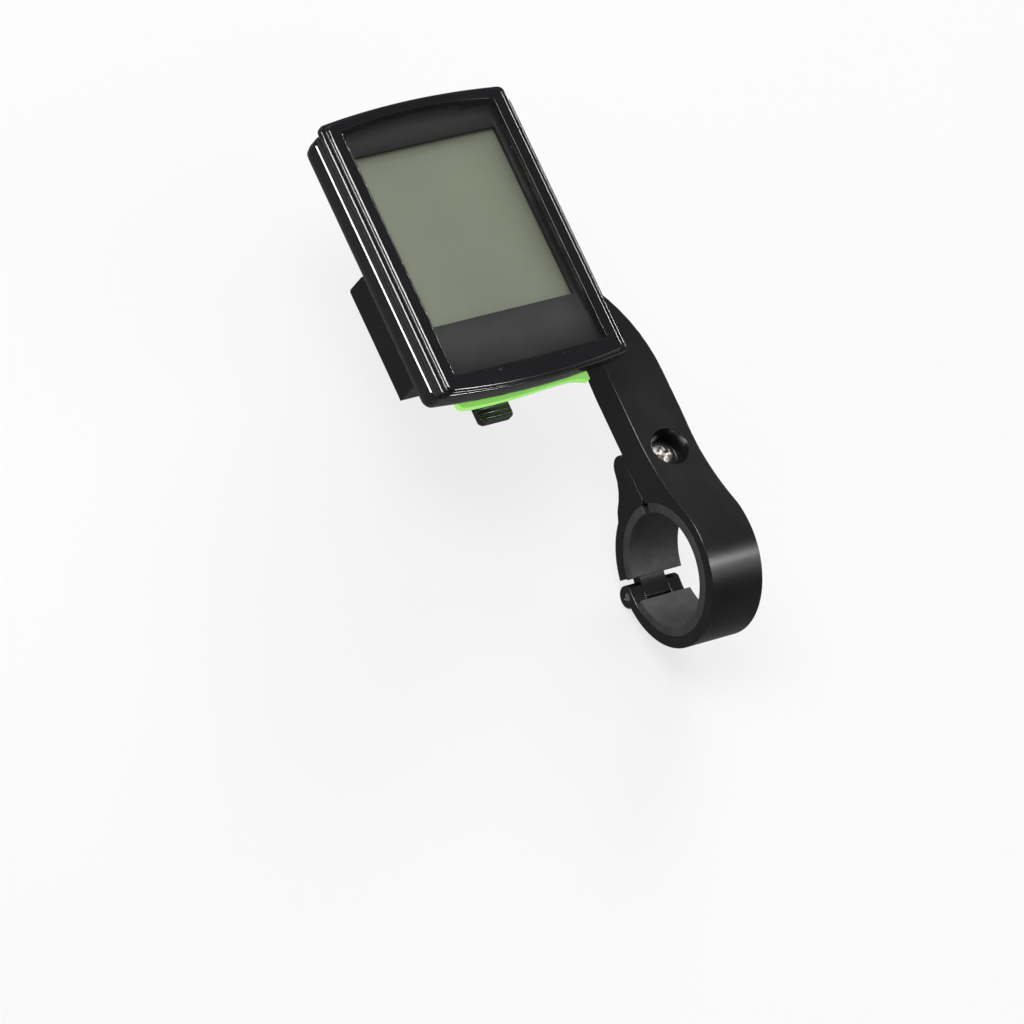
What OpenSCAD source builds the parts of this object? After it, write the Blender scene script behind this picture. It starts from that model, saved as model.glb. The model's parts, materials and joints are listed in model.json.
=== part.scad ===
// Cycling computer on an out-front handlebar bracket.
// Millimetres. X runs along the handlebar towards the rider's right, Y points
// forward, Z is the display's outward normal. The origin is the centre of the
// handlebar clamp.

/* [Handlebar clamp] */
// Diameter of the handlebar the clamp closes on
bar_d = 25.4; // [24.8:0.1:25.8]
// Radial thickness of the rubber liner
liner_t = 2.2; // [2.0:0.1:2.4]
// Radial thickness of the metal clamp band
band_t = 2.6; // [2.4:0.1:2.8]
// Width of the clamp and of the arm
clamp_w = 13.6; // [13:0.2:14.4]
// Distance of the clamp screw in front of the handlebar axis
screw_y = 22.8; // [22.4:0.1:23.2]

/* [Arm and platform] */
// Height of the platform's underside
deck_low = 5.05; // [4.8:0.05:5.4]
// Rider-side edge of the platform
deck_y0 = 50.7; // [50.4:0.1:51]
// Left end of the platform
deck_x0 = -54; // [-55:0.5:-52]
// Radius of the sweep from the arm into the platform
sweep_r = 37.5; // [37:0.5:38]

/* [Computer] */
// Half width of the rear casing
rear_w = 25.8; // [25.6:0.1:25.8]
// Half width of the front casing's lower step
front_w = 24.3; // [24.3:0.1:24.5]
// Half width of the raised rim round the window
rim_w = 22.9; // [22.8:0.1:23.1]
// Height of the front rim
rim_z = 28; // [27.9:0.1:28.2]
// Half width of the window
win_w = 20.1; // [19.9:0.1:20.3]
// Half width of the visible display
lcd_w = 18.5; // [18.3:0.1:18.6]

/* [Hidden] */

deck_z = 12.3;   // top of the arm and platform
deck_y1 = 78;    // forward edge of the platform
head_x = -34;    // computer's centre line
back_z = 15.5;   // computer's back face
through = 20;    // reach of cross cuts that run right through

// clamp rings and hinge
bar_r = bar_d / 2;
ring_in = bar_r + liner_t;
ring_out = ring_in + band_t;
half_w = clamp_w / 2;
pin_a = 275;
pin_dist = ring_in + 2.17;
pin_y = pin_dist * cos(pin_a);
pin_z = pin_dist * sin(pin_a);
pin_r = 1.0;
knuckle_r = 2.6;
knuckle_half = 3.35;
knuckle_side_gap = 0.1;
knuckle_gap = 0.3;
screw_seat_z = 7;

// cradle and lever
deck_screw_ys = [63, 72];
rail_stem_w = 8;   // half widths of the rails' stems and flanges
rail_w = 10.3;
rail_y0 = 52;
rail_y1 = 76.4;
rail_z0 = 16.95;   // flange, underside and top
rail_z1 = 18.3;
rail_gap = 0.3;
lane = 5.4;        // half width of the lever's lane
lever_y = 57;      // lever pin
lever_z = 15.6;
lever_pin_r = 0.8;
spring_y = 53;
spring_z0 = 8.5;
spring_z1 = 14.9;

// casings
split_z = 25.65;
ledge_z = 25.9;
step_z = 27.15;
// each: half width, rider-side end, forward end, bow of the ends, corner radius
rear_shape = [rear_w, 40.5, 107.4, 1.4, 1.8];
front_shape = [front_w, 39.8, 109.2, 1.5, 1.3];
rim_shape = [rim_w, 40.35, 108.7, 1.6, 1.1];
gasket_t = 0.6;
win_y0 = 43.65;
win_y1 = 106.5;
mask_t = 0.15;

// display and circuit board
lcd_y0 = 57.5;
lcd_y1 = 99.3;
lcd_back_z = 22.2;
panel_z = 22.8;
panel_step_z = 23.7;
panel_w = 19.4;
panel_y1 = 100.1;
board_z = 20.9;
board_top = board_z + 0.8;

// places on the computer, [x from head_x, y]
door_y = 91;
key_y = 49.2;
key_dx = 14.6;
key_places = [[-key_dx, key_y], [key_dx, key_y]];
case_holes = [[-17.9, 52.6], [17.9, 52.6], [-17.3, 102.2], [17.3, 102.2]];
board_holes = [[-10, 49.4], [10, 49.4], [-6.8, 102.8], [6.8, 102.8]];

black = [0.09, 0.09, 0.095];
gloss = [0.05, 0.05, 0.055];
green = [0.35, 0.8, 0.2];
liner_grey = [0.2, 0.2, 0.2];
seal_black = [0.12, 0.12, 0.12];
key_grey = [0.25, 0.25, 0.25];
contact_metal = [0.8, 0.75, 0.6];

// ---------- shared shapes ----------

// n + 1 points on an arc from angle a0 to a1
function arc(centre, r, a0, a1, n) =
    [for (i = [0:n]) let(a = a0 + (a1 - a0) * i / n) centre + [r * cos(a), r * sin(a)]];

// the X span inner..outer and its mirror image, as [x0, x1] pairs
function both_sides(inner, outer) = [[-outer, -inner], [inner, outer]];

// section drawn in (Y, Z), pushed along X from x0 to x1
module slice(x0, x1)
    translate([x0, 0, 0]) rotate([90, 0, 90]) linear_extrude(x1 - x0) children();

// ring sector between angles a0 and a1 (degrees from +Y towards +Z)
module sector(r0, r1, a0, a1) difference() {
    intersection() {
        circle(r1, $fn = 96);
        polygon(concat([[0, 0]], arc([0, 0], 2 * r1, a0, a1, ceil((a1 - a0) / 30))));
    }
    circle(r0, $fn = 96);
}

// casing outline: straight sides, ends bowed out by bow, small corner radii r
function outline(w, y0, y1, bow, r) =
    let(corner_n = 5, end_n = 8,
        x = w - r, ya = y0 + bow + r, yb = y1 - bow - r, y_mid = (y0 + y1) / 2,
        base = concat(
            arc([-x, ya], r, 180, 270, corner_n),
            [for (i = [1:end_n - 1]) [-x + 2 * x * i / end_n, ya - r]],
            arc([x, ya], r, 270, 360, corner_n),
            arc([x, yb], r, 0, 90, corner_n),
            [for (i = [1:end_n - 1]) [x - 2 * x * i / end_n, yb + r]],
            arc([-x, yb], r, 90, 180, corner_n)))
    [for (p = base) [p[0], p[1] + (p[1] < y_mid ? -bow : bow) * (1 - pow(p[0] / w, 2))]];

// casing shape drawn in by inset, with its own corner radius r
function inset_outline(shape, inset, r) =
    outline(shape[0] - inset, shape[1] + inset, shape[2] - inset, shape[3], r);

module slab(shape, inset, z, h = 0.02) translate([head_x, 0, z]) linear_extrude(h)
    polygon(inset_outline(shape, inset, max(shape[4] - inset * 0.4, 0.8)));

module block(x0, x1, y0, y1, z0, z1) translate([x0, y0, z0]) cube([x1 - x0, y1 - y0, z1 - z0]);

// block with x measured from the computer's centre line
module head_block(x0, x1, y0, y1, z0, z1) block(head_x + x0, head_x + x1, y0, y1, z0, z1);

// block w either side of the computer's centre line
module centre_block(w, y0, y1, z0, z1) head_block(-w, w, y0, y1, z0, z1);

// two blocks mirrored about the computer's centre line
module side_blocks(inner, outer, y0, y1, z0, z1)
    for (x = both_sides(inner, outer)) head_block(x[0], x[1], y0, y1, z0, z1);

module rod(x, y, z0, z1, r, fn = 48) translate([x, y, z0]) cylinder(h = z1 - z0, r = r, $fn = fn);

module head_rod(x, y, z0, z1, r, fn = 48) rod(head_x + x, y, z0, z1, r, fn);

module head_rods(places, z0, z1, r) for (p = places) head_rod(p[0], p[1], z0, z1, r);

// disc about the battery door's axis
module door_rod(z0, z1, r) head_rod(0, door_y, z0, z1, r, 96);

module cross_rod(y, z, x0, x1, r)
    translate([x0, y, z]) rotate([0, 90, 0]) cylinder(h = x1 - x0, r = r, $fn = 48);

// rods on the hinge pin's and the lever pin's axes
module hinge_rod(half, r) cross_rod(pin_y, pin_z, -half, half, r);
module lever_rod(half, r) cross_rod(lever_y, lever_z, head_x - half, head_x + half, r);

// O-ring on the computer: section radius thick about radius r
module ring(x, y, z, r, thick)
    translate([head_x + x, y, z]) rotate_extrude($fn = 64) translate([r, 0]) circle(thick, $fn = 16);

// cross recess, cut down from z
module phillips(z, w, depth) for (a = [0, 90]) rotate([0, 0, a])
    translate([-w / 2, -w * 0.16, z - depth]) cube([w, w * 0.32, depth + 1]);

// screw pointing up from z, with its head below
module small_screw(place, z, head_r, head_h, r, len) translate([head_x + place[0], place[1], z])
    difference() {
        union() {
            cylinder(h = len, r = r, $fn = 32);
            translate([0, 0, -head_h]) cylinder(h = head_h, r = head_r, $fn = 32);
        }
        rotate([180, 0, 0]) phillips(head_h, head_r * 1.1, head_h * 0.5);
    }

// coil spring standing on z0
module coil(r, wire, z0, z1, turns) {
    steps = 18;    // per turn
    sides = 8;     // round the wire
    last = ceil(turns * steps);
    pitch = (z1 - z0 - 2 * wire) / turns;
    points = [for (i = [0:last])
        let(a = 360 * i / steps, centre = [r * cos(a), r * sin(a), z0 + wire + pitch * i / steps])
        for (j = [0:sides - 1]) let(b = 360 * j / sides)
            centre + wire * [cos(b) * cos(a), cos(b) * sin(a), sin(b)]];
    faces = concat(
        [for (i = [0:last - 1]) for (j = [0:sides - 1]) let(k = (j + 1) % sides)
            [i * sides + j, i * sides + k, (i + 1) * sides + k, (i + 1) * sides + j]],
        [[for (j = [0:sides - 1]) sides - 1 - j]],
        [[for (j = [0:sides - 1]) last * sides + j]]);
    polyhedron(points = points, faces = faces);
}

// ---------- bracket ----------

// hollow blend from the clamp ring down to the deck, which it meets level at blend_y
blend_y = 27;
blend_r = (pow(blend_y, 2) / (ring_out - deck_z) - (ring_out + deck_z)) / 2;
blend_a = atan2(deck_z + blend_r, blend_y);
arm_low = 4.3;       // underside of the arm
arm_flare = 0.3;     // extra half width where the arm meets the sweep
arm_corner_r = 5;    // inner corner between arm and platform

// side view of the arm: round over the handlebar, hollow blend, flat deck
module arm_side() {
    steps = 14;
    y_start = ring_out * cos(blend_a);
    polygon(concat(
        arc([0, 0], ring_out, 90, blend_a, 6),
        [for (i = [1:steps]) let(y = y_start + (blend_y - y_start) * i / steps)
            [y, deck_z + blend_r - sqrt(pow(blend_r, 2) - pow(blend_y - y, 2))]],
        [[deck_y1 - 1.1, deck_z], [deck_y1 - 0.3, deck_z - 0.25], [deck_y1, deck_z - 0.9],
         [deck_y1, deck_low + 0.5], [deck_y1 - 0.5, deck_low], [52, deck_low],
         [40, 4.35], [blend_y, arm_low], [12, arm_low], [0, 12]]));
}

// plan of arm and platform: straight arm, wide sweep, straight platform
module arm_plan() polygon(concat(
    [[-half_w, -1], [half_w, -1], [half_w, 20], [half_w + arm_flare, 30]],
    arc([half_w + arm_flare - sweep_r, deck_y1 - sweep_r], sweep_r, 0, 90, 18),
    [[deck_x0, deck_y1], [deck_x0, deck_y0]],
    arc([-half_w - arm_corner_r, deck_y0 - arm_corner_r], arm_corner_r, 90, 0, 5)));

// section of a hinge knuckle and the band between a0 and a1 that carries it
module knuckle_section(a0, a1) {
    sector(ring_in, ring_out, a0, a1);
    translate([pin_y, pin_z]) circle(knuckle_r, $fn = 48);
}

module bracket_arm() color(black) difference() {
    union() {
        intersection() {
            slice(deck_x0, half_w + arm_flare) arm_side();
            translate([0, 0, -1]) linear_extrude(25) arm_plan();
        }
        slice(-half_w, half_w) sector(ring_in, ring_out, 14, 263);
        for (x = both_sides(knuckle_half + knuckle_side_gap, half_w))
            slice(x[0], x[1]) knuckle_section(262, pin_a);
    }
    cross_rod(0, 0, -through, through, ring_in);
    // clearance under the arm for the jaw's lug
    block(-through, through, 10, 27.5, -1, arm_low);
    hinge_rod(through, pin_r);
    hinge_rod(knuckle_half + knuckle_side_gap, knuckle_r + knuckle_gap);
    // clamp screw: head recess and shank hole
    rod(0, screw_y, screw_seat_z, 20, 4.45);
    rod(0, screw_y, 0, screw_seat_z + 1, 1.65);
    for (y = deck_screw_ys) head_rod(0, y, deck_z - 5.5, deck_z + 1, 1.25);
    head_rod(0, spring_y, spring_z0, deck_z + 1, 1.85);
}

// side view of the jaw's lug, (y, z)
lug_top = 4.1;
lug_points = [
    [15.2, lug_top], [25.2, lug_top], [26.2, 3.8], [26.9, 3.0], [27.1, 1.9],
    [26.8, 0.7], [26.1, -0.2], [25.2, -0.8], [22.8, -1.6], [20.8, -2.8],
    [19.3, -4.2], [17.6, -6.4], [15.6, -7.9], [14.2, -7.6]];

module clamp_jaw() color(black) difference() {
    union() {
        slice(-half_w, half_w) sector(ring_in, ring_out, 288, 374);
        slice(-half_w, half_w) polygon(lug_points);
        slice(-knuckle_half, knuckle_half) knuckle_section(pin_a, 290);
    }
    cross_rod(0, 0, -through, through, ring_in);
    block(-through, through, 10, 30, lug_top, 8);
    hinge_rod(through, pin_r + 0.05);
    for (x = both_sides(knuckle_half, through))
        cross_rod(pin_y, pin_z, x[0], x[1], knuckle_r + knuckle_gap);
    // slot for the screw and pocket for the square nut
    block(-1.75, 1.75, screw_y - 2.75, screw_y + 1.75, 1, 8);
    block(-2.9, 2.9, screw_y - 3.95, screw_y + 2.9, -8, 2.45);
}

module jaw_hinge_pin() color("silver") hinge_rod(half_w - 0.2, pin_r);

// half section of the screw's head, (radius, z)
screw_head_points = [
    [0, 0], [3.2, 0], [3.2, 0.85], [3.0, 1.4], [2.5, 1.8], [1.6, 2.05], [0, 2.1]];

module clamp_screw() color("silver") difference() {
    union() {
        rod(0, screw_y, -1, screw_seat_z, 1.45);
        translate([0, screw_y, screw_seat_z]) rotate_extrude($fn = 48) polygon(screw_head_points);
    }
    translate([0, screw_y, 0]) phillips(screw_seat_z + 2.1, 3.5, 1.3);
}

module clamp_nut() color("silver") difference() {
    block(-2.75, 2.75, screw_y - 2.75, screw_y + 2.75, 0.5, 2.3);
    rod(0, screw_y, 0, 3, 1.5);
}

module clamp_liner(a0, a1) color(liner_grey) slice(-half_w, half_w) sector(bar_r, ring_in, a0, a1);

module clamp_liner_rear() clamp_liner(20, 264);
module clamp_liner_front() clamp_liner(287, 371);

// ---------- cradle and release lever ----------

cradle_w = 12.5;
cradle_y1 = 77;
cone_z = deck_z + 0.45;    // foot of the countersinks
bar_z0 = 13.6;             // bar at the cradle's rider-side end
bar_z1 = 15.3;

// side view of the cradle's arms, (y, z)
cradle_arm_points = [
    [43.4, bar_z0], [48.4, bar_z0], [50.9, deck_z], [53.6, deck_z], [53.6, bar_z1], [43.4, bar_z1]];

// plan of the rider-side bar, (x from head_x, y)
cradle_bar_points = [
    [-13.7, 44.3], [-13.7, 43.0], [-13.3, 42.3], [-12.4, 41.9], [-10, 41.7], [-5, 41.6],
    [0, 41.6], [5, 41.8], [10, 42.1], [14, 42.25], [16.4, 42.2], [18.2, 41.8],
    [20, 41.2], [20.4, 41.5], [20.4, 44.3]];

module deck_cone(y, h, r1, r2)
    translate([head_x, y, cone_z]) cylinder(h = h, r1 = r1, r2 = r2, $fn = 48);

module cradle() color(green) difference() {
    union() {
        centre_block(cradle_w, 51, cradle_y1, deck_z, deck_z + 1.6);
        side_blocks(lane, rail_stem_w, rail_y0, rail_y1, deck_z + 1.5, rail_z1);
        side_blocks(lane, rail_w, rail_y0, rail_y1, rail_z0, rail_z1);
        // arms reaching out under the computer to the bar
        for (x = both_sides(lane + 0.2, 11.6))
            slice(head_x + x[0], head_x + x[1]) polygon(cradle_arm_points);
        // bar following the casing's bowed end, flared towards the bracket's arm
        translate([head_x, 0, bar_z0]) linear_extrude(bar_z1 - bar_z0) polygon(cradle_bar_points);
    }
    // open lane for the lever's tongue
    centre_block(lane, 50, 58.5, deck_z - 1, 20);
    for (y = deck_screw_ys) {
        head_rod(0, y, deck_z - 1, deck_z + 3, 1.3);
        deck_cone(y, 1.16, 1.3, 2.4);
    }
    lever_rod(through, lever_pin_r);
    // lead-in at the forward corners of the base
    for (s = [-1, 1]) translate([head_x + s * cradle_w, cradle_y1, deck_z - 1])
        rotate([0, 0, 45]) cube([3, 3, 8], center = true);
}

module cradle_screws() color("silver") for (y = deck_screw_ys) difference() {
    union() {
        head_rod(0, y, deck_z - 5, deck_z + 0.5, 1.25);
        deck_cone(y, 1.1, 1.25, 2.3);
    }
    translate([head_x, y, 0]) phillips(cone_z + 1.1, 2.2, 0.8);
}

// side view of the lever, (y, z): tab at the bottom, tongue and nose at the top
lever_points = [
    [40.4, 5.2], [41.2, 5.0], [48.2, 5.0], [49.2, 6.0], [49.9, 14.0], [50.2, 14.4],
    [57.2, 14.4], [58.4, 14.05], [60.4, 14.05], [60.4, 15.3], [59, 16.6], [47.2, 16.6],
    [46.5, 16.7], [46.1, 17.9], [45.9, 18.0], [44.9, 18.0], [44.9, 15.9], [46.6, 14.3],
    [47.6, 12.6], [46.6, 7.4], [46.0, 6.7], [40.8, 6.6], [40.4, 6.3]];
lever_w = 4.3;
nose_w = 3.9;
tab_corner_x = 3.1;

module release_lever() color(gloss) difference() {
    union() {
        slice(head_x - lever_w, head_x + lever_w) polygon(lever_points);
        // ribs across the tab
        for (i = [0:3]) cross_rod(41.5 + 1.15 * i, 6.55, head_x - 3.9, head_x + 3.9, 0.32);
    }
    lever_rod(through, lever_pin_r + 0.05);
    // the nose is narrower than the tab and the tab's corners are rounded
    side_blocks(nose_w, 5, 44, 46.6, 15, 20);
    difference() {
        side_blocks(tab_corner_x, 5, 40, 41.6, 4, 8);
        for (s = [-1, 1]) head_rod(s * tab_corner_x, 41.6, 3, 9, 1.2);
    }
    head_rod(0, spring_y, 14, spring_z1, 1.9);
}

module lever_pin() color("silver") lever_rod(rail_stem_w - 0.1, lever_pin_r);

module lever_spring() color("silver") translate([head_x, spring_y, 0])
    coil(r = 1.4, wire = 0.2, z0 = spring_z0, z1 = spring_z1, turns = 6);

// ---------- casings ----------

// rounding of the rear casing's back edge: inset, height above the back face
back_profile = [[4.2, 0], [3.15, 0.9], [1.75, 2.8], [0.95, 3.9], [0.25, 5], [0, 6.8]];

module rear_body() hull() {
    for (p = back_profile) slab(rear_shape, p[0], back_z + p[1]);
    slab(rear_shape, 0, split_z - 0.4);
    slab(rear_shape, 0.2, split_z - 0.12);
}

module rear_shell() difference() {
    rear_body();
    slab(rear_shape, 4.4, back_z + 1.5, 12);
    slab(rear_shape, 2.6, back_z + 3.8, 12);
}

// thick parts inside the shell, trimmed to its outer form
module rear_inside() intersection() {
    rear_body();
    union() {
        // roof and walls of the rail channel
        centre_block(11.8, 40, 78.2, back_z + 0.1, 19.8);
        // well that holds the coin cell
        door_rod(back_z + 0.2, 19.9, 13.2);
        head_rods(case_holes, back_z + 0.9, 20.8, 2.0);
        head_rods(key_places, back_z + 0.5, back_z + 1.5, 3.8);
    }
}

// rail channel, open towards the rider
module rail_channel() {
    centre_block(rail_w + rail_gap, 30, rail_y1 + rail_gap, 16.7, rail_z1 + rail_gap);
    centre_block(rail_stem_w + rail_gap, 30, rail_y1 + rail_gap, 10, 17);
}

// three wedges about the door's axis, each spanning half_a either side
module door_wedges(z, turn, h, r, half_a)
    for (a = [0, 120, 240]) translate([head_x, door_y, back_z + z]) rotate([0, 0, a + turn])
        intersection() {
            cylinder(h = h, r = r, $fn = 96);
            linear_extrude(3) polygon(concat([[0, 0]], arc([0, 0], 20, -half_a, half_a, 1)));
        }

// recess for the door, its seal and its bayonet lugs, then the cell
module door_recess() {
    door_rod(10, back_z + 0.92, 12.1);
    door_rod(10, back_z + 2.4, 11.35);
    door_rod(back_z + 1.55, back_z + 2.4, 12.3);
    door_rod(15, 25, 10.35);
    door_wedges(z = 0.5, turn = -40, h = 1.5, r = 12.2, half_a = 16);
}

module gasket_loop(h) translate([head_x, 0, split_z - gasket_t]) linear_extrude(h) difference() {
    polygon(inset_outline(rear_shape, 1.55, 1.2));
    polygon(inset_outline(rear_shape, 2.2, 0.9));
}

module rear_casing() color(gloss) union() {
    difference() {
        union() {
            rear_shell();
            rear_inside();
        }
        rail_channel();
        door_recess();
        // slot for the contact that reaches down beside the cell
        head_block(10, 12.2, door_y - 2.2, door_y + 2.2, back_z + 2.6, 21);
        head_rods(case_holes, 15, 21, 0.9);
        head_rods(case_holes, 10, back_z + 1.6, 1.7);
        head_rods(key_places, 10, back_z + 1.6, 2.6);
        gasket_loop(1);
    }
    // wall behind which the lever's nose snaps
    centre_block(4.4, 43.3, 44.55, 16.95, 19);
}

module case_gasket() color([0.15, 0.15, 0.15]) gasket_loop(gasket_t);

// sheet with the window's outline, grown by grow
module window_sheet(grow, h) translate([head_x, 0, 0]) linear_extrude(h)
    polygon(outline(win_w + grow, win_y0 - grow, win_y1 + grow, 1.5, 0.6 + grow));

// one step of the front casing, with its top edge eased
module front_step(shape, z0, z1) hull() {
    slab(shape, 0, z0);
    slab(shape, 0, z1 - 0.35);
    slab(shape, 0.3, z1 - 0.02);
}

module front_casing() color(gloss) difference() {
    union() {
        front_step(front_shape, split_z, step_z);
        front_step(rim_shape, step_z - 0.5, rim_z);
        // plate that drops into the rear casing, with the screw bosses under it
        slab(rear_shape, 2.75, ledge_z - 1, 1);
        head_rods(case_holes, 21.0, ledge_z - 0.5, 1.5);
        head_rods(board_holes, board_top, ledge_z - 0.5, 1.6);
    }
    // seat of the lens and the opening over the display
    translate([0, 0, ledge_z]) window_sheet(0.05, 12);
    centre_block(lcd_w + 0.5, lcd_y0 - 0.5, lcd_y1 + 0.5, 20, 40);
    head_rods(case_holes, 20, ledge_z - 0.9, 0.84);
    head_rods(board_holes, 20, ledge_z - 1.2, 0.74);
}

module case_screws() color("silver") for (p = case_holes)
    small_screw(p, back_z + 1.6, head_r = 1.55, head_h = 1.0, r = 0.8, len = 7.6);

module board_screws() color("silver") for (p = board_holes)
    small_screw(p, board_z, head_r = 1.2, head_h = 0.6, r = 0.7, len = 3.6);

module window_lens() color([0.35, 0.36, 0.36])
    translate([0, 0, ledge_z + mask_t]) window_sheet(0, rim_z - 0.05 - ledge_z - mask_t);

module window_mask() color([0.16, 0.16, 0.17]) difference() {
    translate([0, 0, ledge_z]) window_sheet(0, mask_t);
    centre_block(lcd_w, lcd_y0, lcd_y1, 20, 30);
}

// ---------- electronics ----------

module lcd_frame() color([0.85, 0.85, 0.83]) difference() {
    centre_block(20.3, 54.2, 100.6, lcd_back_z, ledge_z - 1.0);
    centre_block(19.5, 55.0, 100.2, 21, 24.62);
    centre_block(18.9, 57.0, 99.8, 21, 30);
}

// two glass layers, the upper one shorter at the rider's side
module lcd_panel() color([0.62, 0.65, 0.58]) union() {
    centre_block(panel_w, 55.1, panel_y1, panel_z, panel_step_z);
    centre_block(panel_w, 56.9, panel_y1, panel_step_z, 24.6);
}

module lcd_reflector() color([0.9, 0.9, 0.86])
    centre_block(18.8, 58.6, 99.6, lcd_back_z, panel_z);

module zebra_strips() color([0.8, 0.5, 0.55])
    for (y = [55.4, 57.0]) centre_block(18.6, y, y + 1.1, board_top, panel_z);

module circuit_board() color([0.05, 0.3, 0.15]) difference() {
    translate([head_x, 0, board_z]) linear_extrude(board_top - board_z)
        polygon(outline(20.8, 44.3, 104.3, 1.2, 1.5));
    head_rods(case_holes, 20, 23, 2.0);
    head_rods(board_holes, 20, 23, 0.75);
    // edge notches beside the case screws
    side_blocks(17.9, 30, 101.5, 110, 20, 23);
    side_blocks(17.9, 30, 51.8, 54.6, 20, 23);
}

// larger chips: x0, x1 from head_x, y0, y1, underside z
chips = [[-8.5, -1.5, 62, 69, 19.95], [3, 8, 64, 69, 20.0], [3.4, 6.6, 57, 58.5, 20.1]];

module board_chips() color([0.08, 0.08, 0.08]) {
    for (c = chips) head_block(c[0], c[1], c[2], c[3], c[4], board_z);
    for (i = [0:3]) head_block(-7 + i * 2.4, -6 + i * 2.4, 73, 73.5, 20.4, board_z);
    for (i = [0:2]) head_block(10.4, 11.4, 60 + i * 2, 60.6 + i * 2, 20.4, board_z);
}

module key_switches() color([0.75, 0.75, 0.75]) for (p = key_places) union() {
    head_block(p[0] - 1.8, p[0] + 1.8, key_y - 1.8, key_y + 1.8, 19.7, board_z);
    head_rod(p[0], key_y, 19.2, 19.75, 0.8);
}

module buzzer() color([0.1, 0.1, 0.1]) difference() {
    head_rod(16, 70, 19.3, board_z, 3.5);
    head_rod(16, 70, 19, 19.8, 0.6);
}

module antenna() color([0.7, 0.55, 0.4]) head_block(-18.5, -15.3, 84, 91, 20.0, board_z);

// ---------- cell, door and keys ----------

// contact beside the cell, (x from head_x, z)
plus_points = [
    [10.1, 17.9], [10.35, 18.3], [10.4, 20.3], [11.2, 20.65], [14, 20.65],
    [14, 20.9], [10.9, 20.9], [10.15, 20.5], [10.1, 18.3]];

// contact over the cell, (y from door_y, z)
minus_points = [
    [-7, 20.9], [-7, 20.68], [-2, 20.68], [4, 19.98], [6, 19.98],
    [7, 20.3], [6.9, 20.45], [5.9, 20.18], [4.1, 20.18], [-1.6, 20.9]];

// half section of the cell, (radius, z)
cell_points = [[0, 0], [9.6, 0], [10, 0.35], [10, 2.9], [9.7, 3.15], [8.9, 3.2], [0, 3.2]];

module cell_contact_plus() color(contact_metal) translate([head_x, door_y - 1.8, 0])
    rotate([90, 0, 180]) mirror([1, 0, 0]) linear_extrude(3.6) polygon(plus_points);

module cell_contact_minus() color(contact_metal)
    translate([head_x, door_y, 0]) slice(-1.6, 1.6) polygon(minus_points);

module coin_cell() color("silver")
    translate([head_x, door_y, 16.75]) rotate_extrude($fn = 96) polygon(cell_points);

module battery_door() color(gloss) difference() {
    union() {
        door_rod(back_z, back_z + 0.9, 12.0);
        door_rod(back_z + 0.85, back_z + 1.6, 10.62);
        door_rod(back_z + 1.6, back_z + 2.3, 11.25);
        door_wedges(z = 1.65, turn = 0, h = 0.6, r = 12.15, half_a = 12);
    }
    // the door is a shallow cup under the cell, with a coin slot outside
    door_rod(16.74, 20, 10.15);
    centre_block(8, door_y - 0.8, door_y + 0.8, back_z - 1, back_z + 0.6);
}

module door_seal() color(seal_black) ring(0, door_y, back_z + 1.24, 10.97, 0.34);

// cap, flange and stem, with a groove round the cap for its seal
module key(dx) color(key_grey) difference() {
    union() {
        head_rod(dx, key_y, back_z - 0.4, back_z + 1.6, 2.5);
        head_rod(dx, key_y, back_z + 1.6, back_z + 2.1, 2.7);
        head_rod(dx, key_y, back_z + 2.1, 18.75, 1.2);
    }
    difference() {
        head_rod(dx, key_y, back_z + 0.45, back_z + 1.05, 3);
        head_rod(dx, key_y, back_z, back_z + 2, 2.0);
    }
}

module key_seal(dx) color(seal_black) ring(dx, key_y, back_z + 0.75, 2.29, 0.29);

module mode_key() key(-key_dx);
module mode_key_seal() key_seal(-key_dx);
module set_key() key(key_dx);
module set_key_seal() key_seal(key_dx);

bracket_arm();
clamp_jaw();
jaw_hinge_pin();
clamp_screw();
clamp_nut();
clamp_liner_rear();
clamp_liner_front();
cradle();
cradle_screws();
release_lever();
lever_pin();
lever_spring();
rear_casing();
front_casing();
case_gasket();
case_screws();
window_lens();
window_mask();
lcd_frame();
lcd_panel();
lcd_reflector();
zebra_strips();
circuit_board();
board_chips();
board_screws();
key_switches();
buzzer();
antenna();
cell_contact_plus();
cell_contact_minus();
coin_cell();
battery_door();
door_seal();
mode_key();
mode_key_seal();
set_key();
set_key_seal();
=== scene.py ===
# Cycling computer on its out-front bracket: finished meshes, materials, light and camera.
# The computer lies flat with its window facing +Z, its width along X about CENTRE_X and its
# length along Y. Piece sizes are in mm; stage, lights and camera are in metres.
import json
from collections import namedtuple
from math import cos, pi, radians, sin

import bmesh
import bpy
from mathutils import Matrix, Vector

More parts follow.
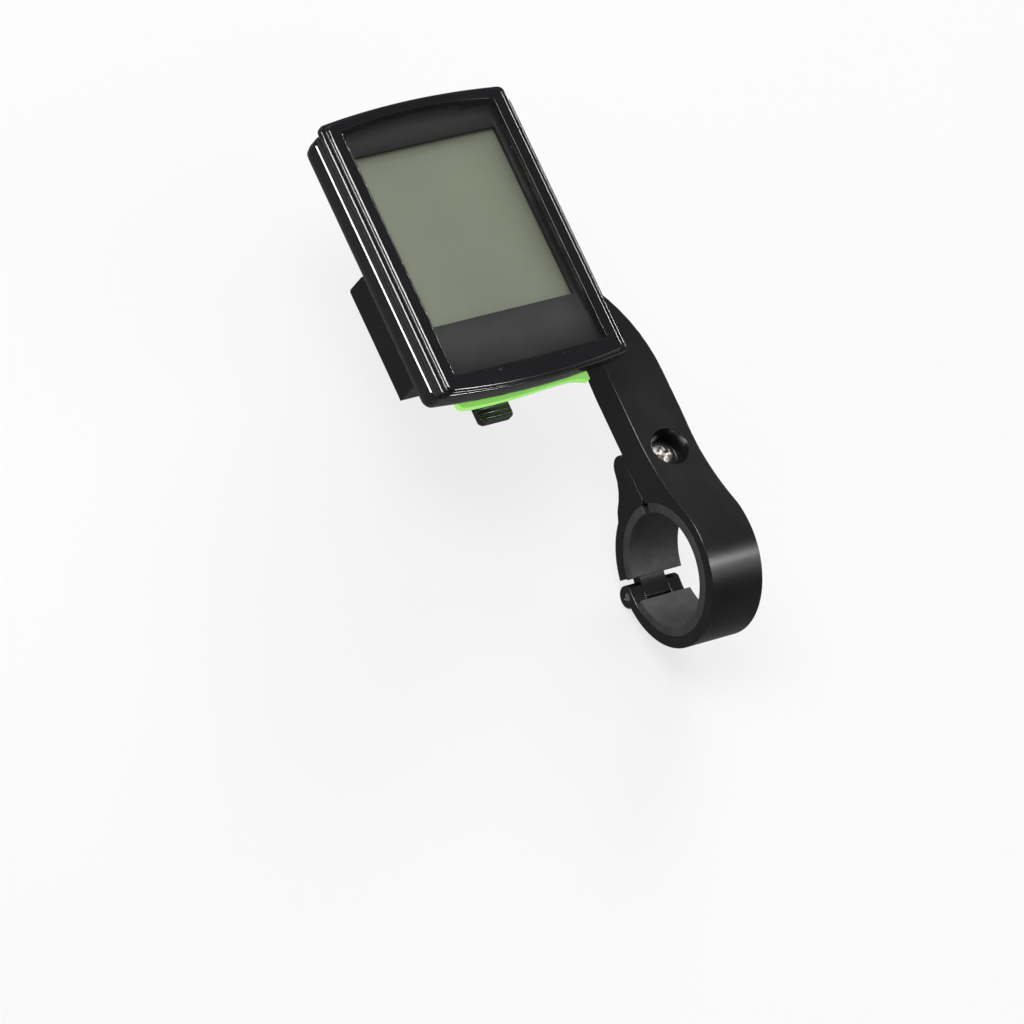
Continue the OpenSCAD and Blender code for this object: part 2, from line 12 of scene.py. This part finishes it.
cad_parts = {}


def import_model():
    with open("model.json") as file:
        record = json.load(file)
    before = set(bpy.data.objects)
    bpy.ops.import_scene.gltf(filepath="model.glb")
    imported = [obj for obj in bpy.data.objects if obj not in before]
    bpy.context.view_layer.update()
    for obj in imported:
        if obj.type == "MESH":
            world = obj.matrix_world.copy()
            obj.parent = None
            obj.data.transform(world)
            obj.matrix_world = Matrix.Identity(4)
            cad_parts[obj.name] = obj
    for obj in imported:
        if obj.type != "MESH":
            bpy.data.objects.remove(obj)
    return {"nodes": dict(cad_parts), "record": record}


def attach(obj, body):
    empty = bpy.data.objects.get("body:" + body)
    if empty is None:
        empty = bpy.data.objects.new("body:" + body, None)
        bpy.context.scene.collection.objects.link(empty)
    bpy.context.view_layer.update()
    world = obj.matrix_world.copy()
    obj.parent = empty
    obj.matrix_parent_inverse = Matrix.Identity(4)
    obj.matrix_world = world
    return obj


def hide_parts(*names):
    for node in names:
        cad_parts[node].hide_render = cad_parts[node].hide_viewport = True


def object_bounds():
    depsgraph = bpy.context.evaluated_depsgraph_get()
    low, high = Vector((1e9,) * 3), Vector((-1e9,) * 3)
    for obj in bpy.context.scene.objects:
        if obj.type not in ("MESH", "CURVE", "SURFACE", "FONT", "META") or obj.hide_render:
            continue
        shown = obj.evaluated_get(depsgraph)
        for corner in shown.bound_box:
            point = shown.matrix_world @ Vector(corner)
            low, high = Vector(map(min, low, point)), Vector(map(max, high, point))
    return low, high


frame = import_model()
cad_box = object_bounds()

cad_nodes = frame["nodes"]
scene = bpy.context.scene
MM = 0.001

# ---------------------------------------------------------------- sizes, mm
CENTRE_X = -34.0

# heights of the front casing
SPLIT = 25.65                   # foot of the outer wall
STEP = 27.15                    # top of the outer step
RIM = 28.0                      # top of the raised rim
LEDGE = 25.9                    # ledge that carries the mask and window
LEDGE_UNDER = LEDGE - 1.0
MASK_THICK = 0.15

# A rounded rectangle whose two ends bulge outwards in Y by the bow, at the centre line
Outline = namedtuple("Outline", "half_width y_min y_max bow corner")
WALL = Outline(24.3, 39.8, 109.2, 1.5, 1.3)
RAISED_RIM = Outline(22.9, 40.35, 108.7, 1.6, 1.1)
WINDOW = Outline(20.1, 43.65, 106.5, 1.5, 0.6)
SEAT = Outline(19.1, 45.9, 104.3, 1.4, 0.5)         # inner edge of the ledge
POCKET = Outline(23.05, 43.25, 104.65, 1.4, 0.8)    # inside of the casing, under the ledge
DISPLAY = Outline(18.5, 57.5, 99.3, 0.0, 0.35)      # display opening in the mask

# pieces along each corner, each end (X run) and each side (Y run) of an outline
CORNER_PIECES, END_PIECES, SIDE_PIECES = 8, 30, 14

# screw bosses in mirrored pairs: x from the centre line, y, radius, bore radius, lower z
BOSSES = (
    (17.9, 52.6, 1.5, 0.8, 21.0),
    (17.3, 102.2, 1.5, 0.8, 21.0),
    (10, 49.4, 1.6, 0.7, 21.7),
    (6.8, 102.8, 1.6, 0.7, 21.7),
)
BOSS_PIECES = 32
BOSS_EDGE = 0.12
BORE_EDGE_DEPTH = 0.15


# ---------------------------------------------------------------- shader helpers
def empty_tree(owner):
    owner.use_nodes = True
    owner.node_tree.nodes.clear()
    return owner.node_tree


def new_material(name):
    material = bpy.data.materials.new(name)
    return material, empty_tree(material)


def add(tree, kind, inputs, **settings):
    """Add a node; an input given as a socket is linked, any other is set."""
    node = tree.nodes.new("ShaderNode" + kind)
    for key, value in settings.items():
        setattr(node, key, value)
    for key, value in inputs.items():
        if isinstance(value, bpy.types.NodeSocket):
            tree.links.new(value, node.inputs[key])
        else:
            node.inputs[key].default_value = value
    return node


def output(tree, shader):
    add(tree, "OutputMaterial", {"Surface": shader.outputs[0]})


def coords(tree, stretch=(1, 1, 1)):
    """Object coordinates in metres, scaled by stretch."""
    source = add(tree, "TexCoord", {})
    mapping = add(tree, "Mapping", {"Scale": stretch, "Vector": source.outputs["Object"]})
    return mapping.outputs["Vector"]


def noise(tree, vector, scale, detail, roughness=0.5):
    return add(tree, "TexNoise", {
        "Scale": scale, "Detail": detail, "Roughness": roughness, "Vector": vector,
    }).outputs["Fac"]


def ramp(tree, value, dark, light, start=0.3, end=0.7):
    """Blend from dark to light as value goes from start to end."""
    node = add(tree, "ValToRGB", {"Fac": value})
    stops = node.color_ramp.elements
    stops[0].position, stops[0].color = start, (*dark, 1)
    stops[1].position, stops[1].color = end, (*light, 1)
    return node.outputs["Color"]


def remap(tree, value, low, high, start=0.3, end=0.7):
    """Map value from start..end to low..high."""
    return add(tree, "MapRange", {
        "Value": value, "From Min": start, "From Max": end, "To Min": low, "To Max": high,
    }).outputs["Result"]


def bump(tree, height, strength, depth, below=None):
    """Relief of the given depth in metres, laid over the normal below."""
    inputs = {"Strength": strength, "Distance": depth, "Height": height}
    if below is not None:
        inputs["Normal"] = below
    return add(tree, "Bump", inputs).outputs["Normal"]


def by_ray(tree, light_path, ray, value, otherwise):
    """Pick value for the named kind of ray, and otherwise for all the rest."""
    return add(tree, "MapRange", {
        "Value": light_path.outputs[ray], "To Min": otherwise, "To Max": value,
    }).outputs["Result"]


# ---------------------------------------------------------------- materials
def add_painted_glints(tree, vector, scale, strength, color):
    """Scatter fine grey specks over a colour: painted glints that stand for sparkling grain."""
    specks = ramp(tree, noise(tree, vector, scale, detail=1),
                  dark=(0, 0, 0), light=(1, 1, 1), start=0.6, end=0.72)
    amount = add(tree, "Math", {0: specks, 1: strength}, operation="MULTIPLY")
    return add(tree, "MixRGB", {
        "Fac": amount.outputs[0], "Color1": color, "Color2": (0.5, 0.5, 0.5, 1),
    }, blend_type="ADD").outputs["Color"]


def surface(name, dark, light, rough, tone_scale, grain_scale, grain, grain_depth=0.00004,
            metallic=0.0, specular=0.5, wave_scale=None, stretch=(1, 1, 1), painted_glints=0.0,
            painted_glow=0.0):
    """Mottled dark to light, uneven in roughness, with a fine grain.

    wave_scale adds a faint long wave; the specks add grey specks that are painted glints; the
    glow adds emission, which is painted light on a part that is no lamp.
    """
    material, tree = new_material(name)
    vector = coords(tree, stretch)
    tone = noise(tree, vector, tone_scale, detail=4)
    fine = noise(tree, vector, grain_scale, detail=2, roughness=0.6)
    color = ramp(tree, tone, dark, light)
    # painted glints: grey specks added to the colour
    if painted_glints:
        color = add_painted_glints(tree, vector, grain_scale * 1.4, painted_glints, color)
    uneven = noise(tree, vector, tone_scale * 2.3, detail=3)
    normal = bump(tree, fine, grain, grain_depth)
    if wave_scale:
        wave = noise(tree, vector, wave_scale, detail=1)
        normal = bump(tree, wave, strength=0.012, depth=0.0002, below=normal)
    inputs = {
        "Base Color": color,
        "Roughness": remap(tree, uneven, *rough),
        "Metallic": metallic,
        "IOR": 1.5,
        "Specular IOR Level": specular,
        "Coat Roughness": 0.05,
        "Normal": normal,
    }
    # painted light: emission makes the surface glow though it is no lamp
    if painted_glow:
        inputs["Emission Color"] = color
        inputs["Emission Strength"] = painted_glow
    output(tree, add(tree, "BsdfPrincipled", inputs))
    return material


def board_material():
    """Green solder mask with a fine lighter grid."""
    material, tree = new_material("solder_mask")
    vector = coords(tree)
    grid = add(tree, "TexBrick", {
        "Scale": 320,
        "Mortar Size": 0.012,
        "Color1": (0.012, 0.085, 0.032, 1),
        "Color2": (0.010, 0.070, 0.027, 1),
        "Mortar": (0.030, 0.170, 0.070, 1),
        "Vector": vector,
    })
    uneven = noise(tree, vector, scale=400, detail=3)
    output(tree, add(tree, "BsdfPrincipled", {
        "Base Color": grid.outputs["Color"],
        "Roughness": remap(tree, uneven, low=0.25, high=0.4),
        "Normal": bump(tree, grid.outputs["Fac"], strength=0.2, depth=0.00003),
    }))
    return material


def display_material():
    """Reflective grey-green display with the faint mottling of a polariser."""
    material, tree = new_material("display_grey_green")
    vector = coords(tree)
    color = ramp(tree, noise(tree, vector, scale=35, detail=2),
                 dark=(0.187, 0.199, 0.143), light=(0.204, 0.217, 0.158), start=0.25, end=0.75)
    uneven = noise(tree, vector, scale=900, detail=2)
    grain = noise(tree, vector, scale=6000, detail=1)
    output(tree, add(tree, "BsdfPrincipled", {
        "Base Color": color,
        "Roughness": remap(tree, uneven, low=0.42, high=0.5),
        "Specular IOR Level": 0.3,
        "Normal": bump(tree, grain, strength=0.04, depth=0.00001),
    }))
    return material


def mask_material():
    """Charcoal print, a shade lighter at its -Y end, beyond the display."""
    material, tree = new_material("charcoal_print")
    vector = coords(tree)
    upper = ramp(tree, noise(tree, vector, scale=120, detail=3),
                 dark=(0.020, 0.0202, 0.0202), light=(0.024, 0.0242, 0.0242))
    lower = ramp(tree, noise(tree, vector, scale=120, detail=3),
                 dark=(0.036, 0.0362, 0.0362), light=(0.041, 0.0412, 0.0412))
    axes = add(tree, "SeparateXYZ", {0: vector})
    # start and end are places along Y in metres
    part = remap(tree, axes.outputs["Y"], low=1.0, high=0.0, start=0.056, end=0.062)
    color = add(tree, "MixRGB", {"Fac": part, "Color1": upper, "Color2": lower})
    uneven = noise(tree, vector, scale=500, detail=2)
    grain = noise(tree, vector, scale=5000, detail=1)
    output(tree, add(tree, "BsdfPrincipled", {
        "Base Color": color.outputs["Color"],
        "Roughness": remap(tree, uneven, low=0.55, high=0.7),
        "Specular IOR Level": 0.08,
        "Normal": bump(tree, grain, strength=0.05, depth=0.00001),
    }))
    return material


def window_material():
    """Clear polished sheet: what lies behind shows through a mirror-like skin."""
    material, tree = new_material("clear_window")
    vector = coords(tree)
    tint = ramp(tree, noise(tree, vector, scale=60, detail=2),
                dark=(0.93, 0.935, 0.93), light=(0.95, 0.955, 0.95))
    clear = add(tree, "BsdfTransparent", {"Color": tint})
    uneven = noise(tree, vector, scale=200, detail=2)
    mirror = add(tree, "BsdfGlossy", {
        "Color": (1, 1, 1, 1),
        "Roughness": remap(tree, uneven, low=0.02, high=0.04),
    })
    fresnel = add(tree, "Fresnel", {"IOR": 1.47})
    # only the outer skin mirrors: the gate is 1 - backfacing
    geometry = add(tree, "NewGeometry", {})
    gate = add(tree, "Math", {0: geometry.outputs["Backfacing"], 1: -1.0, 2: 1.0},
               operation="MULTIPLY_ADD")
    skin = add(tree, "Math", {0: fresnel.outputs["Fac"], 1: gate.outputs[0]},
               operation="MULTIPLY")
    output(tree, add(tree, "MixShader", {
        "Fac": skin.outputs[0], 1: clear.outputs["BSDF"], 2: mirror.outputs["BSDF"],
    }))
    return material


# material of each slot
MATERIALS = {
    # polished black mouldings: deep black with faint long-wave flow marks
    "casing_gloss": surface(
        "polished_black", dark=(0.0065, 0.0065, 0.0075), light=(0.009, 0.009, 0.0105),
        rough=(0.05, 0.09), tone_scale=90, grain_scale=5200, grain=0.03, grain_depth=0.00001,
        wave_scale=95),
    "casing_rear": surface(
        "rear_black", dark=(0.007, 0.007, 0.008), light=(0.010, 0.010, 0.0115),
        rough=(0.09, 0.15), tone_scale=80, grain_scale=4200, grain=0.05, grain_depth=0.000015,
        wave_scale=90),
    "lever_black": surface(
        "lever_black", dark=(0.010, 0.010, 0.011), light=(0.016, 0.016, 0.017),
        rough=(0.18, 0.28), tone_scale=120, grain_scale=4200, grain=0.08, grain_depth=0.00002),
    # painted light: emission makes the green cradle glow bright, standing in for light it does
    # not get
    "cradle_green": surface(
        "cradle_green", dark=(0.34, 0.88, 0.15), light=(0.40, 0.93, 0.20),
        rough=(0.26, 0.36), tone_scale=120, grain_scale=3200, grain=0.08, grain_depth=0.00002,
        painted_glow=0.38),
    # fine-blasted black anodised alloy: a bump grain, and grey specks in the colour that are
    # painted glints for its sparkle
    "anodised_black": surface(
        "anodised_black", dark=(0.0065, 0.0065, 0.0072), light=(0.0095, 0.0095, 0.0102),
        rough=(0.20, 0.26), tone_scale=45, grain_scale=3600, grain=0.12, grain_depth=0.00002,
        painted_glints=0.008, specular=0.36),
    "liner_rubber": surface(
        "liner_rubber", dark=(0.018, 0.018, 0.018), light=(0.034, 0.034, 0.034),
        rough=(0.55, 0.72), tone_scale=260, grain_scale=3000, grain=0.3, grain_depth=0.00005,
        specular=0.4),
    "seal_rubber": surface(
        "seal_rubber", dark=(0.012, 0.012, 0.012), light=(0.022, 0.022, 0.022),
        rough=(0.5, 0.65), tone_scale=240, grain_scale=3400, grain=0.2, grain_depth=0.00003,
        specular=0.4),
    "steel": surface(
        "plated_steel", dark=(0.40, 0.38, 0.36), light=(0.47, 0.445, 0.42),
        rough=(0.24, 0.32), tone_scale=220, grain_scale=2600, grain=0.03, grain_depth=0.00002,
        metallic=1.0),
    "spring_steel": surface(
        "spring_wire", dark=(0.42, 0.42, 0.42), light=(0.58, 0.58, 0.57),
        rough=(0.22, 0.34), tone_scale=700, grain_scale=4200, grain=0.08, grain_depth=0.00002,
        metallic=1.0),
    "cell": surface(
        "stainless_can", dark=(0.56, 0.56, 0.55), light=(0.68, 0.68, 0.67),
        rough=(0.18, 0.3), tone_scale=140, grain_scale=900, grain=0.08, grain_depth=0.00002,
        metallic=1.0, stretch=(1, 14, 1)),
    "switch_metal": surface(
        "tinned_cover", dark=(0.5, 0.5, 0.49), light=(0.64, 0.64, 0.62),
        rough=(0.25, 0.38), tone_scale=600, grain_scale=3000, grain=0.08, metallic=1.0),
    "contact": surface(
        "plated_bronze", dark=(0.60, 0.50, 0.30), light=(0.72, 0.62, 0.40),
        rough=(0.2, 0.34), tone_scale=500, grain_scale=2600, grain=0.08, metallic=1.0),
    "lcd_white": surface(
        "white_moulding", dark=(0.58, 0.58, 0.54), light=(0.70, 0.70, 0.66),
        rough=(0.4, 0.55), tone_scale=160, grain_scale=2600, grain=0.08),
    "zebra": surface(
        "striped_elastomer", dark=(0.34, 0.16, 0.19), light=(0.62, 0.36, 0.39),
        rough=(0.5, 0.65), tone_scale=2600, grain_scale=4000, grain=0.1,
        stretch=(1, 0.02, 0.02)),
    "chips": surface(
        "moulded_epoxy", dark=(0.013, 0.013, 0.013), light=(0.024, 0.024, 0.024),
        rough=(0.5, 0.62), tone_scale=600, grain_scale=3800, grain=0.25),
    "ceramic": surface(
        "antenna_ceramic", dark=(0.38, 0.25, 0.16), light=(0.52, 0.36, 0.24),
        rough=(0.35, 0.5), tone_scale=900, grain_scale=3000, grain=0.1),
    "key_rubber": surface(
        "key_grey", dark=(0.045, 0.045, 0.048), light=(0.065, 0.065, 0.07),
        rough=(0.38, 0.5), tone_scale=300, grain_scale=3600, grain=0.2, grain_depth=0.00003),
    "board": board_material(),
    "lcd": display_material(),
    "mask_print": mask_material(),
    "window": window_material(),
}


# ---------------------------------------------------------------- mesh helpers
def add_object(name, mesh, slot):
    for polygon in mesh.polygons:
        polygon.use_smooth = True
    mesh.materials.append(MATERIALS[slot])
    ob = bpy.data.objects.new(name, mesh)
    scene.collection.objects.link(ob)
    return ob


def build(name, verts, faces, slot):
    """An object from points in mm."""
    mesh = bpy.data.meshes.new(name)
    mesh.from_pydata([tuple(c * MM for c in vert) for vert in verts], [], faces)
    bm = bmesh.new()
    bm.from_mesh(mesh)
    bmesh.ops.remove_doubles(bm, verts=bm.verts, dist=1e-7)
    bmesh.ops.recalc_face_normals(bm, faces=bm.faces)
    bm.to_mesh(mesh)
    bm.free()
    return add_object(name, mesh, slot)


def weight_normals(ob):
    modifier = ob.modifiers.new("normals", "WEIGHTED_NORMAL")
    modifier.mode = "FACE_AREA"
    modifier.weight = 60
    modifier.keep_sharp = True


def register(ob, body, node=None):
    """Hide the CAD node the object replaces, if any, and attach the object to its body."""
    if node:
        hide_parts(node)
    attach(ob, body)


def ring(shape, z, grow=0.0, corner=None):
    """Points of an outline at height z, grown outwards, from its -X -Y corner."""
    half_width = shape.half_width + grow
    y_min, y_max = shape.y_min - grow, shape.y_max + grow
    radius = shape.corner if corner is None else corner
    corner_x = half_width - radius
    low_y = y_min + shape.bow + radius
    high_y = y_max - shape.bow - radius
    run_x, run_y = 2 * corner_x, high_y - low_y
    # corner centre, quarter turn it starts at, straight that follows it, pieces of that
    sides = (
        (-corner_x, low_y, 2, run_x, 0, END_PIECES),
        (corner_x, low_y, 3, 0, run_y, SIDE_PIECES),
        (corner_x, high_y, 0, -run_x, 0, END_PIECES),
        (-corner_x, high_y, 1, 0, -run_y, SIDE_PIECES),
    )
    points = []
    for centre_x, centre_y, quarter, dx, dy, pieces in sides:
        for i in range(CORNER_PIECES + 1):
            angle = pi / 2 * (quarter + i / CORNER_PIECES)
            points.append((centre_x + radius * cos(angle), centre_y + radius * sin(angle)))
        end_x, end_y = points[-1]
        points += [(end_x + dx * i / pieces, end_y + dy * i / pieces)
                   for i in range(1, pieces)]
    middle = (y_min + y_max) / 2
    return [(CENTRE_X + x,
             y + (-shape.bow if y < middle else shape.bow) * (1 - (x / half_width) ** 2),
             z) for x, y in points]


def window_ring(z, grow=0.0):
    return ring(WINDOW, z, grow, WINDOW.corner + grow)


def band_faces(ring_count, size, looped, start=0):
    """Quads between neighbouring rings; looped also joins the last ring to the first."""
    faces = []
    for k in range(ring_count if looped else ring_count - 1):
        here = start + k * size
        there = start + (k + 1) % ring_count * size
        for i in range(size):
            j = (i + 1) % size
            faces.append((here + i, here + j, there + j, there + i))
    return faces


def loft(name, rings, slot, looped=True):
    """Skin a stack of rings, looped on itself or capped at both ends."""
    size = len(rings[0])
    faces = band_faces(len(rings), size, looped)
    if not looped:
        faces.append(tuple(range(size)))
        faces.append(tuple((len(rings) - 1) * size + i for i in range(size)))
    return build(name, [point for points in rings for point in points], faces, slot)


def rounding(radius, centre_z, start, end, steps):
    """(inset, z) points of an edge rounding, in degrees; a negative radius is a fillet."""
    angles = [radians(start + (end - start) * i / steps) for i in range(steps + 1)]
    return [(radius * (1 - cos(angle)), centre_z + radius * sin(angle)) for angle in angles]


# ---------------------------------------------------------------- front casing
def front_casing():
    foot, shoulder, fillet, crest = 0.2, 0.3, 0.12, 0.34    # radii, bottom to top
    lip = 0.04              # rounding at the top of the window's recess
    window_gap = 0.05
    wall = [(foot, SPLIT)]
    wall += rounding(foot, SPLIT + foot, -60, 0, steps=3)
    wall += rounding(shoulder, STEP - shoulder, 0, 90, steps=8)
    rim = rounding(-fillet, STEP + fillet, 90, 0, steps=3)
    rim += rounding(crest, RIM - crest, 0, 90, steps=8)
    rings = []
    for shape, profile, least_corner in ((WALL, wall, 0.7), (RAISED_RIM, rim, 0.6)):
        for inset, z in profile:
            corner = max(shape.corner - inset * 0.6, least_corner)
            rings.append(ring(shape, z, -inset, corner))
    for degrees in (0, 45, 90):
        angle = radians(degrees)
        rings.append(window_ring(RIM - lip + lip * cos(angle),
                                 window_gap + lip - lip * sin(angle)))
    rings += [
        window_ring(LEDGE, window_gap),
        ring(SEAT, LEDGE),
        ring(SEAT, LEDGE_UNDER),
        ring(POCKET, LEDGE_UNDER),
        ring(POCKET, SPLIT),
    ]
    ob = loft("front_casing_fine", rings, "casing_gloss")
    weight_normals(ob)
    register(ob, "computer", "front_casing")


def bosses():
    """Hollow screw bosses hanging under the plate."""
    verts, faces = [], []
    for offset, y, radius, bore, bottom in BOSSES:
        # radius and z around the boss's section
        section = (
            (bore, bottom + BORE_EDGE_DEPTH),
            (bore + BOSS_EDGE, bottom),
            (radius - BOSS_EDGE, bottom),
            (radius, bottom + BOSS_EDGE),
            (radius, LEDGE_UNDER),
            (bore, LEDGE_UNDER),
        )
        for side in (-1, 1):
            faces += band_faces(len(section), BOSS_PIECES, looped=True, start=len(verts))
            for reach, z in section:
                for i in range(BOSS_PIECES):
                    angle = 2 * pi * i / BOSS_PIECES
                    verts.append((CENTRE_X + side * offset + reach * cos(angle),
                                  y + reach * sin(angle), z))
    ob = build("front_casing_bosses", verts, faces, "casing_gloss")
    register(ob, "computer")


def plate():
    """Plate between the seat and the display opening, under the mask."""
    clearance, corner = 0.12, 0.3
    rings = [
        ring(SEAT, LEDGE),
        ring(SEAT, LEDGE_UNDER),
        ring(DISPLAY, LEDGE_UNDER, clearance, corner),
        ring(DISPLAY, LEDGE, clearance, corner),
    ]
    ob = loft("front_casing_plate", rings, "mask_print")
    weight_normals(ob)
    register(ob, "computer")


# ---------------------------------------------------------------- window
def window_lens():
    bottom, top = LEDGE + MASK_THICK, RIM - 0.05
    chamfer, edge = 0.08, 0.03
    rings = [window_ring(bottom, -chamfer), window_ring(bottom + chamfer)]
    rings += [window_ring(z, -inset) for inset, z in rounding(edge, top - edge, 0, 90, steps=2)]
    ob = loft("window_lens_fine", rings, "window", looped=False)
    weight_normals(ob)
    register(ob, "computer", "window_lens")


def window_mask():
    top = LEDGE + MASK_THICK
    flare, flare_depth = 0.02, 0.05     # the display opening widens at the top
    rings = [
        window_ring(LEDGE),
        window_ring(top),
        ring(DISPLAY, top, flare),
        ring(DISPLAY, top - flare_depth),
        ring(DISPLAY, LEDGE),
    ]
    ob = loft("window_mask_fine", rings, "mask_print")
    register(ob, "computer", "window_mask")


front_casing()
bosses()
plate()
window_lens()
window_mask()


# ---------------------------------------------------------------- CAD solids with rolled edges
def refine(node, body, slot, edge, segments=3, weld=False):
    """The CAD solid rebuilt as clean polygons, its edges rolled to a width in mm."""
    bm = bmesh.new()
    bm.from_mesh(cad_nodes[node].data)
    bmesh.ops.remove_doubles(bm, verts=bm.verts, dist=2e-6)
    bmesh.ops.dissolve_limit(bm, angle_limit=radians(0.4), use_dissolve_boundaries=False,
                             verts=bm.verts, edges=bm.edges)
    bmesh.ops.recalc_face_normals(bm, faces=bm.faces)
    mesh = bpy.data.meshes.new(node + "_m")
    bm.to_mesh(mesh)
    bm.free()
    # puts every face on the first slot
    mesh.materials.clear()
    ob = add_object(node + "_fine", mesh, slot)
    bevel = ob.modifiers.new("edges", "BEVEL")
    bevel.width = edge * MM
    bevel.segments = segments
    bevel.limit_method = "ANGLE"
    bevel.angle_limit = radians(32)
    bevel.harden_normals = True
    bevel.use_clamp_overlap = True
    bevel.miter_outer = "MITER_ARC"
    if weld:
        # the bevel leaves coincident points at the bottom of the bore
        ob.modifiers.new("weld", "WELD").merge_threshold = 1e-6
    weight_normals(ob)
    register(ob, body, node)


refine("rear_casing", "computer", "casing_rear", edge=0.14)
refine("bracket_arm", "bracket", "anodised_black", edge=0.28, segments=4)
refine("clamp_jaw", "jaw", "anodised_black", edge=0.25, segments=4, weld=True)
refine("cradle", "bracket", "cradle_green", edge=0.2)
refine("release_lever", "lever", "lever_black", edge=0.18)
refine("clamp_screw", "screw", "steel", edge=0.05)
refine("clamp_nut", "nut", "steel", edge=0.12)
refine("jaw_hinge_pin", "bracket", "steel", edge=0.12)
refine("lever_pin", "bracket", "steel", edge=0.1)
refine("cradle_screws", "bracket", "steel", edge=0.08)
refine("clamp_liner_rear", "bracket", "liner_rubber", edge=0.2)
refine("clamp_liner_front", "jaw", "liner_rubber", edge=0.2)
refine("battery_door", "door", "casing_rear", edge=0.14)
refine("mode_key", "mode", "key_rubber", edge=0.16)
refine("set_key", "set", "key_rubber", edge=0.16)

# ---------------------------------------------------------------- CAD nodes kept as they are
slot_of = {part["node"]: part["material_slot"] for part in frame["record"]["subparts"]}
for node_name, cad_object in cad_nodes.items():
    if not cad_object.hide_render:
        cad_object.data.materials.clear()
        cad_object.data.materials.append(MATERIALS[slot_of[node_name]])


# ---------------------------------------------------------------- stage
def floor_material():
    """Pale to the eye, dim in reflections so that polished black stays black."""
    material, tree = new_material("pale_floor")
    tone = ramp(tree, noise(tree, coords(tree), scale=4, detail=3),
                dark=(0.90, 0.90, 0.90), light=(0.92, 0.92, 0.92))
    diffuse = add(tree, "BsdfDiffuse", {"Color": tone})
    rays = add(tree, "LightPath", {})
    unseen = by_ray(tree, rays, "Is Glossy Ray", value=0.19, otherwise=0.95)
    strength = by_ray(tree, rays, "Is Camera Ray", value=1.0, otherwise=unseen)
    emission = add(tree, "Emission", {"Color": tone, "Strength": strength})
    output(tree, add(tree, "MixShader", {
        "Fac": by_ray(tree, rays, "Is Glossy Ray", value=1.0, otherwise=0.8),
        1: diffuse.outputs["BSDF"],
        2: emission.outputs["Emission"],
    }))
    return material


def floor():
    """A square grid just below the lowest CAD point."""
    size, drop, cells = 4000, 0.35, 24
    z = cad_box[0][2] / MM - drop
    row = cells + 1
    verts = [((i / cells - 0.5) * size, (j / cells - 0.5) * size, z)
             for j in range(row) for i in range(row)]
    starts = [j * row + i for j in range(cells) for i in range(cells)]
    faces = [(a, a + 1, a + row + 1, a + row) for a in starts]
    MATERIALS["floor"] = floor_material()
    build("floor", verts, faces, "floor")


def camera():
    data = bpy.data.cameras.new("camera")
    data.lens = 250.15
    data.sensor_width = 36
    data.clip_start = 0.05
    data.clip_end = 20
    ob = bpy.data.objects.new("camera", data)
    scene.collection.objects.link(ob)
    ob.matrix_world = Matrix((
        (0.80938, -0.40902, 0.42144, 0),        # picture's right
        (0.21435, 0.87383, 0.43644, 0),         # picture's up
        (-0.54678, -0.26291, 0.79493, 0),       # backwards, away from the subject
        (-0.8741, -0.3811, 1.2178, 1),          # place
    )).transposed()
    scene.camera = ob


LIGHT_TARGET = Vector((-0.03, 0.06, 0.02))


def area(name, direction, distance, size, power, size_y=None, diffuse=True, glossy=True):
    """A rectangular light set off from the target along direction, and aimed back at it."""
    data = bpy.data.lights.new(name, "AREA")
    data.shape = "RECTANGLE"
    data.size = size
    data.size_y = size_y or size
    data.energy = power
    ob = bpy.data.objects.new(name, data)
    scene.collection.objects.link(ob)
    away = Vector(direction).normalized()
    ob.location = LIGHT_TARGET + away * distance
    ob.rotation_euler = away.to_track_quat("Z", "Y").to_euler()
    ob.visible_diffuse = diffuse
    ob.visible_glossy = glossy


def world():
    """White surroundings, dimmer in reflections."""
    studio = bpy.data.worlds.new("studio")
    scene.world = studio
    tree = empty_tree(studio)
    rays = add(tree, "LightPath", {})
    background = add(tree, "Background", {
        "Color": (1, 1, 1, 1),
        "Strength": by_ray(tree, rays, "Is Glossy Ray", value=0.13, otherwise=0.42),
    })
    add(tree, "OutputWorld", {"Surface": background.outputs["Background"]})


floor()
camera()
area("key_softbox", (-0.42, 0.22, 0.88), distance=1.2, size=0.50, size_y=0.75, power=9)
# narrow lights that show only in reflections draw the edge lines
area("edge_high", (-0.12, 0.26, 0.96), distance=1.2, size=0.20, size_y=0.46, power=15,
     diffuse=False)
area("edge_low", (-0.90, 0.26, 0.35), distance=1.2, size=0.30, size_y=0.42, power=18,
     diffuse=False)
area("right_strip", (0.93, 0.27, 0.32), distance=1.4, size=0.30, power=14, diffuse=False)
area("front_strip", (0.45, -0.42, 0.79), distance=1.4, size=0.15, size_y=0.20, power=9,
     diffuse=False)
area("right_fill", (0.9, -0.55, 0.6), distance=1.6, size=0.8, power=4)
area("far_side", (0.7, 0.9, 0.5), distance=1.6, size=0.7, power=17, glossy=False)
area("far_fill", (0.25, 1.0, 0.9), distance=1.7, size=1.0, power=5)
world()
scene.view_settings.view_transform = "Standard"
scene.view_settings.look = "None"
